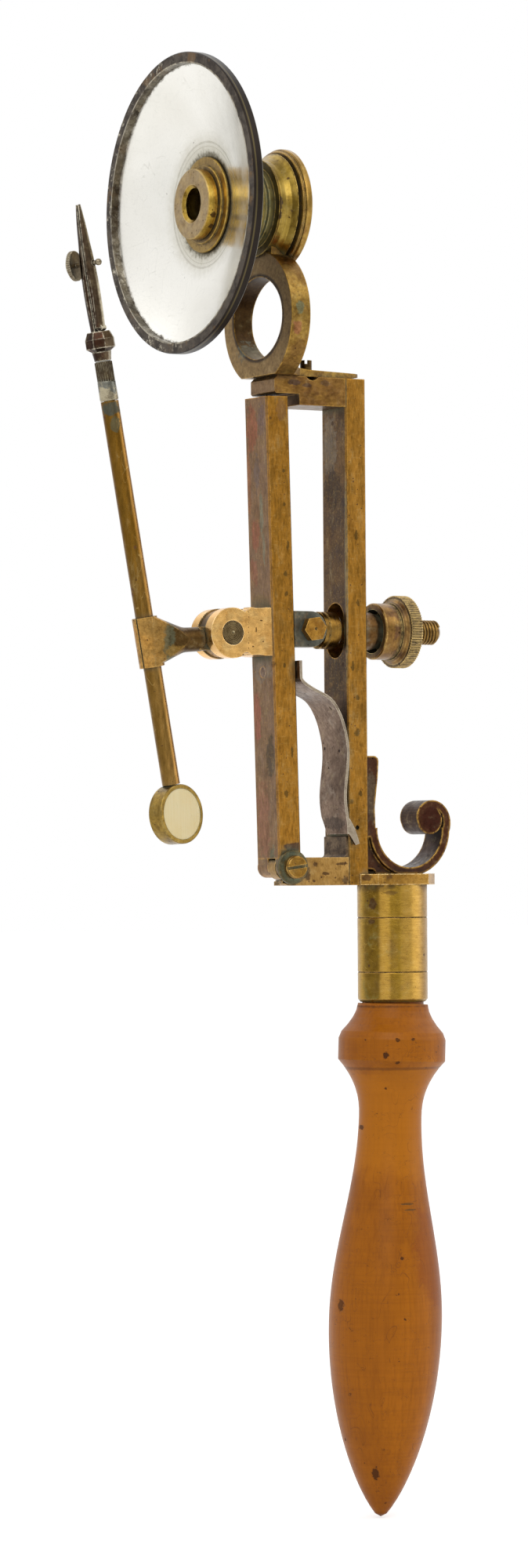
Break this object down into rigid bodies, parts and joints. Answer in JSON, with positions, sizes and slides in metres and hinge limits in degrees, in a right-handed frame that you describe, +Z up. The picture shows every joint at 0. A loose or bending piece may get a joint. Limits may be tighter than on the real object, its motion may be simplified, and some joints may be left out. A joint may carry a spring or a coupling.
{
  "type": "compass microscope",
  "caption": "Hand-held compass microscope with a silvered reflector, a sprung focusing limb with a screw, specimen forceps and a turned wooden handle.",
  "frame": {"origin": "middle of the ferrule, on its axis", "axes": "+Z up along the ferrule towards the frame; +X towards the eye side, the lens looks along -X; +Y across, on the far side in the picture"},
  "size_m": [0.0581, 0.0404, 0.1982],
  "materials": {
    "fruitwood": "turned and oiled, worn satin with fine grain",
    "ferrule_brass": "satin brass with brown spots",
    "polished_brass": "rubbed bright, with pits",
    "frame_brass": "old lacquer, grainy ochre",
    "limb_brass": "old lacquer with purple-brown toning",
    "carrier_brass": "brown toning, bright edges",
    "barrel_brass": "aged with dark grooves",
    "nose_brass": "matte face, bright sides",
    "screw_brass": "worn satin",
    "nut_brass": "brown, bright on the knurl",
    "arm_brass": "dark brown with grey-green",
    "rod_brass": "olive gold, drawn satin",
    "silvered_metal": "silvered, faintly tarnished, dark rim",
    "lens_glass": "clear, polished",
    "blackened_brass": "blackened, matte",
    "dark_steel": "dark brown, worn at the edges",
    "spring_steel": "pitted, grey-brown",
    "grey_metal": "grey, matte",
    "socket_metal": "white metal, fluted and polished",
    "forceps_steel": "dark, rubbed bright along the edges",
    "button_metal": "pale, knurled",
    "ivory": "smooth pale cream, hairline marks",
    "ebony": "smooth, near black"
  },
  "bodies": {
    "frame": {"handle": "fruitwood", "ferrule": "ferrule_brass", "handle_tang": "dark_steel", "base_plate": "polished_brass", "scroll": "dark_steel", "rear_bar": "frame_brass", "top_arm": "frame_brass", "foot_arm": "polished_brass", "spring_seat": "spring_steel", "lens_carrier": "carrier_brass", "carrier_screw": "screw_brass", "lens_barrel": "barrel_brass", "barrel_cap": "barrel_brass", "lens": "lens_glass", "lens_stop": "blackened_brass", "objective_nose": "nose_brass", "reflector": "silvered_metal", "reflector_flange": "nose_brass", "thrust_collar": "nut_brass"},
    "limb": {"front_bar": "limb_brass", "hinge_screw": "screw_brass", "hinge_washer": "screw_brass", "leaf_spring": "spring_steel", "spring_rivet": "spring_steel", "screw_lug": "grey_metal", "lug_bolt": "screw_brass", "compass_fork": "polished_brass", "compass_pin": "dark_steel"},
    "screw_link": {"focus_screw": "screw_brass"},
    "nut": {"focus_nut": "nut_brass"},
    "arm": {"specimen_arm": "arm_brass"},
    "rod": {"specimen_rod": "rod_brass", "disc_pivot": "dark_steel"},
    "disc": {"disc_cup": "nose_brass", "ivory_disc": "ivory", "ebony_disc": "ebony"},
    "forceps": {"forceps_socket": "socket_metal", "forceps_body": "forceps_steel"},
    "jaw": {"forceps_jaw": "forceps_steel"},
    "button": {"forceps_button": "button_metal"}
  },
  "joints": [
    {"name": "nut_spin", "type": "hinge", "parent": "frame", "child": "nut", "pos_m": [-0.00165, 0, 0.0427], "axis": [1, 0, 0], "range_deg": [-120, 1860]},
    {"name": "limb_tilt", "type": "hinge", "parent": "frame", "child": "limb", "pos_m": [-0.01795, 0, 0.0105], "axis": [0, -1, 0], "range_deg": [-0.3, 4.5]},
    {"name": "screw_swivel", "type": "hinge", "parent": "limb", "child": "screw_link", "pos_m": [-0.01441, 0, 0.0427], "axis": [0, -1, 0], "range_deg": [-4.5, 0.3]},
    {"name": "arm_swing", "type": "hinge", "parent": "limb", "child": "arm", "pos_m": [-0.02657, 0, 0.042], "axis": [0, 1, 0], "range_deg": [-10, 12]},
    {"name": "rod_slide", "type": "slide", "parent": "arm", "child": "rod", "axis": [-0.1745, 0, 0.9847], "range_m": [-0.012, 0.014]},
    {"name": "forceps_turn", "type": "hinge", "parent": "rod", "child": "forceps", "pos_m": [-0.04374, 0, 0.07265], "axis": [-0.1745, 0, 0.9847], "continuous": true},
    {"name": "disc_turn", "type": "hinge", "parent": "rod", "child": "disc", "pos_m": [-0.0347, 0, 0.02165], "axis": [-0.1745, 0, 0.9847], "continuous": true},
    {"name": "button_press", "type": "slide", "parent": "forceps", "child": "button", "axis": [0.5506, -0.829, 0.0976], "range_m": [0, 0.0005], "stiffness_N_per_m": 300},
    {"name": "jaw_open", "type": "hinge", "parent": "forceps", "child": "jaw", "pos_m": [-0.04514, -0.00046, 0.08233], "axis": [0.8163, 0.5592, 0.1447], "range_deg": [0, 3.33]}
  ],
  "couplings": [
    {"joint": "limb_tilt", "follows": "nut_spin", "ratio": 0.0023725},
    {"joint": "screw_swivel", "follows": "nut_spin", "ratio": -0.0023725},
    {"joint": "jaw_open", "follows": "button_press", "rad_per_m": 115.87}
  ]
}
